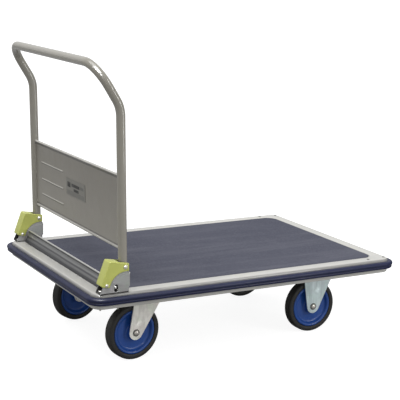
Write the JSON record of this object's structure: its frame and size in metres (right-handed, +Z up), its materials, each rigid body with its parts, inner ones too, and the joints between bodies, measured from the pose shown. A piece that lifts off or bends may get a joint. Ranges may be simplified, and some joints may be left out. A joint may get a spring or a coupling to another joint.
{
  "type": "folding platform cart",
  "caption": "Platform cart with a rubber-edged steel deck, swivel and rigid casters, and a bent tube handle with a panel that folds forward over the deck.",
  "frame": {"origin": "on the ground under the middle of the deck", "axes": "+X along the deck away from the handle, +Y across it, +Z up"},
  "size_m": [0.94, 0.64, 0.798],
  "materials": {
    "deck_paint": "gloss light grey paint",
    "deck_mat_vinyl": "matt blue-grey vinyl with a fine grain",
    "bumper_rubber": "satin navy blue",
    "under_frame_paint": "satin grey paint",
    "bracket_steel": "dull plated steel",
    "guard_plastic": "satin yellow-green",
    "zinc_fastener": "bright zinc plate",
    "handle_paint": "gloss warm grey paint",
    "panel_paint": "satin warm grey paint",
    "label_blank": "blank film",
    "fork_zinc": "zinc plate",
    "wheel_blue": "moulded blue",
    "tyre_rubber": "matt black",
    "plug_plastic": "matt black",
    "spring_steel": "drawn wire"
  },
  "bodies": {
    "deck": {"deck_pan": "deck_paint", "deck_mat": "deck_mat_vinyl", "bumper": "bumper_rubber", "cross_member_rear": "under_frame_paint", "cross_member_front": "under_frame_paint", "deck_stiffener_near": "under_frame_paint", "deck_stiffener_far": "under_frame_paint", "hinge_bracket_near": "bracket_steel", "bracket_bolt_near_rear": "zinc_fastener", "bracket_bolt_near_front": "zinc_fastener", "finger_guard_near": "guard_plastic", "pivot_pin_near": "zinc_fastener", "guard_screw_near": "zinc_fastener", "pedal_pin_near": "zinc_fastener", "pedal_spring_near": "spring_steel", "swivel_plate_near": "zinc_fastener", "swivel_race_near": "zinc_fastener", "kingpin_near": "zinc_fastener", "rigid_fork_near": "fork_zinc", "rigid_axle_near": "zinc_fastener", "hinge_bracket_far": "bracket_steel", "bracket_bolt_far_rear": "zinc_fastener", "bracket_bolt_far_front": "zinc_fastener", "finger_guard_far": "guard_plastic", "pivot_pin_far": "zinc_fastener", "guard_screw_far": "zinc_fastener", "pedal_pin_far": "zinc_fastener", "pedal_spring_far": "spring_steel", "swivel_plate_far": "zinc_fastener", "swivel_race_far": "zinc_fastener", "kingpin_far": "zinc_fastener", "rigid_fork_far": "fork_zinc", "rigid_axle_far": "zinc_fastener"},
    "handle": {"handle_tube": "handle_paint", "handle_panel": "panel_paint", "label_plate": "label_blank", "pivot_bush_near": "zinc_fastener", "pivot_bush_far": "zinc_fastener", "foot_plug_near": "plug_plastic", "foot_plug_far": "plug_plastic"},
    "release": {"release_plate": "bracket_steel", "lock_rod": "zinc_fastener"},
    "swivel_near": {"swivel_fork_near": "fork_zinc", "swivel_axle_near": "zinc_fastener"},
    "rear_wheel_near": {"wheel_bearing_rear_near": "zinc_fastener", "wheel_rim_rear_near": "wheel_blue", "tyre_rear_near": "tyre_rubber"},
    "front_wheel_near": {"wheel_bearing_front_near": "zinc_fastener", "wheel_rim_front_near": "wheel_blue", "tyre_front_near": "tyre_rubber"},
    "swivel_far": {"swivel_fork_far": "fork_zinc", "swivel_axle_far": "zinc_fastener"},
    "rear_wheel_far": {"wheel_bearing_rear_far": "zinc_fastener", "wheel_rim_rear_far": "wheel_blue", "tyre_rear_far": "tyre_rubber"},
    "front_wheel_far": {"wheel_bearing_front_far": "zinc_fastener", "wheel_rim_front_far": "wheel_blue", "tyre_front_far": "tyre_rubber"}
  },
  "joints": [
    {"name": "handle_fold", "type": "hinge", "parent": "deck", "child": "handle", "pos_m": [-0.3762, 0, 0.2855], "axis": [0, 1, 0], "range_deg": [0, 90]},
    {"name": "release_tilt", "type": "hinge", "parent": "deck", "child": "release", "pos_m": [-0.4102, 0, 0.2275], "axis": [0, 1, 0], "range_deg": [0, 35], "stiffness_Nm_per_rad": 0.5, "springref_deg": -34.38, "deforming": ["pedal_spring_near", "pedal_spring_far"]},
    {"name": "swivel_near_turn", "type": "hinge", "parent": "deck", "child": "swivel_near", "pos_m": [-0.261, -0.188, 0.18], "axis": [0, 0, 1], "continuous": true},
    {"name": "rear_near_roll", "type": "hinge", "parent": "swivel_near", "child": "rear_wheel_near", "pos_m": [-0.29885, -0.19131, 0.075], "axis": [-0.0872, 0.9962, 0], "continuous": true},
    {"name": "front_near_roll", "type": "hinge", "parent": "deck", "child": "front_wheel_near", "pos_m": [0.2625, -0.188, 0.075], "axis": [0, 1, 0], "continuous": true},
    {"name": "swivel_far_turn", "type": "hinge", "parent": "deck", "child": "swivel_far", "pos_m": [-0.261, 0.188, 0.18], "axis": [0, 0, 1], "continuous": true},
    {"name": "rear_far_roll", "type": "hinge", "parent": "swivel_far", "child": "rear_wheel_far", "pos_m": [-0.29824, 0.18042, 0.075], "axis": [-0.1994, 0.9799, 0], "continuous": true},
    {"name": "front_far_roll", "type": "hinge", "parent": "deck", "child": "front_wheel_far", "pos_m": [0.2625, 0.188, 0.075], "axis": [0, 1, 0], "continuous": true}
  ]
}
